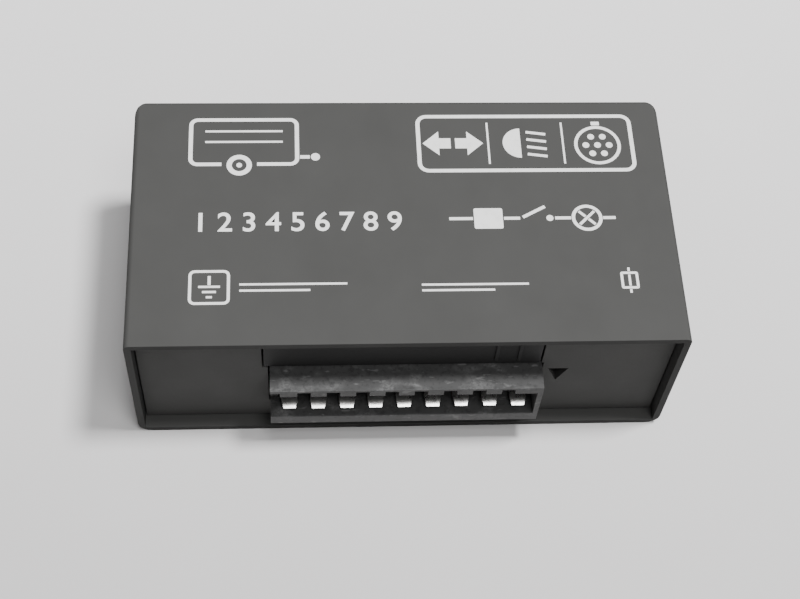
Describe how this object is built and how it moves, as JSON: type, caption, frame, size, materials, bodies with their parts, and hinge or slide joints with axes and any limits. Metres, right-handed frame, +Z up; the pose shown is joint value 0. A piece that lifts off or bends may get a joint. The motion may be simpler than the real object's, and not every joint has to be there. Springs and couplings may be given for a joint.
{
  "type": "trailer control module",
  "caption": "Flat dark-grey plastic sleeve with a recessed front panel, a wide multi-blade plug socket that stands proud, and a pull-out circuit board with clapper relays and power switches.",
  "frame": {"origin": "centre of the module's footprint, plug socket included, on the plane of its underside", "axes": "+X along the long side, -Y out of the connector side, +Z up out of the broad top face"},
  "size_m": [0.094, 0.0524, 0.031],
  "materials": {
    "sleeve_plastic": "fine matte mould texture, dark grey",
    "panel_plastic": "fine matte mould texture, dark grey",
    "connector_plastic": "satin dark grey, scuffed, with fine moulding marks",
    "latch_plastic": "matte black",
    "tinned_copper": "bright tin plate",
    "board_laminate": "green solder mask over glass-fibre laminate",
    "relay_plastic": "matte black moulding",
    "relay_cover": "clear smoke-tinted polycarbonate",
    "bobbin_plastic": "natural nylon",
    "copper_wire": "enamelled copper wire",
    "plated_steel": "nickel-plated soft iron",
    "brass": "rolled brass strip",
    "chip_plastic": "moulded black epoxy",
    "ferrite": "coated ferrite",
    "capacitor_can": "satin drawn aluminium",
    "buzzer_plastic": "matte black moulding",
    "print_ink": "white pad print",
    "solder": "satin tin solder",
    "ceramic": "fired ceramic of small surface-mount parts"
  },
  "bodies": {
    "housing": {"housing_sleeve": "sleeve_plastic"},
    "electronics_tray": {"front_panel": "panel_plastic", "connector_header": "connector_plastic", "latch_plate": "latch_plastic", "circuit_board": "board_laminate", "contact_blade_1": "tinned_copper", "contact_blade_2": "tinned_copper", "contact_blade_3": "tinned_copper", "contact_blade_4": "tinned_copper", "contact_blade_5": "tinned_copper", "contact_blade_6": "tinned_copper", "contact_blade_7": "tinned_copper", "contact_blade_8": "tinned_copper", "contact_blade_9": "tinned_copper", "relay_1_cover": "relay_cover", "relay_1_base": "relay_plastic", "relay_1_yoke": "plated_steel", "relay_1_bobbin": "bobbin_plastic", "relay_1_winding": "copper_wire", "relay_1_fixed_contact": "brass", "relay_1_return_spring": "brass", "relay_2_cover": "relay_cover", "relay_2_base": "relay_plastic", "relay_2_yoke": "plated_steel", "relay_2_bobbin": "bobbin_plastic", "relay_2_winding": "copper_wire", "relay_2_fixed_contact": "brass", "relay_2_return_spring": "brass", "microcontroller": "chip_plastic", "power_switch_1": "chip_plastic", "power_switch_2": "chip_plastic", "power_switch_3": "chip_plastic", "power_switch_4": "chip_plastic", "voltage_regulator": "chip_plastic", "surge_diode": "chip_plastic", "flash_memory": "chip_plastic", "shunt_resistor": "chip_plastic", "crystal": "capacitor_can", "bulk_capacitor": "capacitor_can", "filter_capacitor": "capacitor_can", "buzzer_case": "buzzer_plastic", "buzzer_disc": "brass", "choke_core": "ferrite", "choke_winding": "copper_wire"},
    "relay_1_armature": {"relay_1_armature": "plated_steel"},
    "relay_2_armature": {"relay_2_armature": "plated_steel"}
  },
  "joints": [
    {"name": "tray_slide", "type": "slide", "parent": "housing", "child": "electronics_tray", "axis": [0, -1, 0], "range_m": [0, 0.042]},
    {"name": "relay_1_rock", "type": "hinge", "parent": "electronics_tray", "child": "relay_1_armature", "pos_m": [-0.0392, 0.012, 0.0197], "axis": [0, 1, 0], "range_deg": [0, 2.8], "stiffness_Nm_per_rad": 0.0005, "springref_deg": -17.19},
    {"name": "relay_2_rock", "type": "hinge", "parent": "electronics_tray", "child": "relay_2_armature", "pos_m": [-0.0207, 0.012, 0.0197], "axis": [0, 1, 0], "range_deg": [0, 2.8], "stiffness_Nm_per_rad": 0.0005, "springref_deg": -17.19}
  ]
}
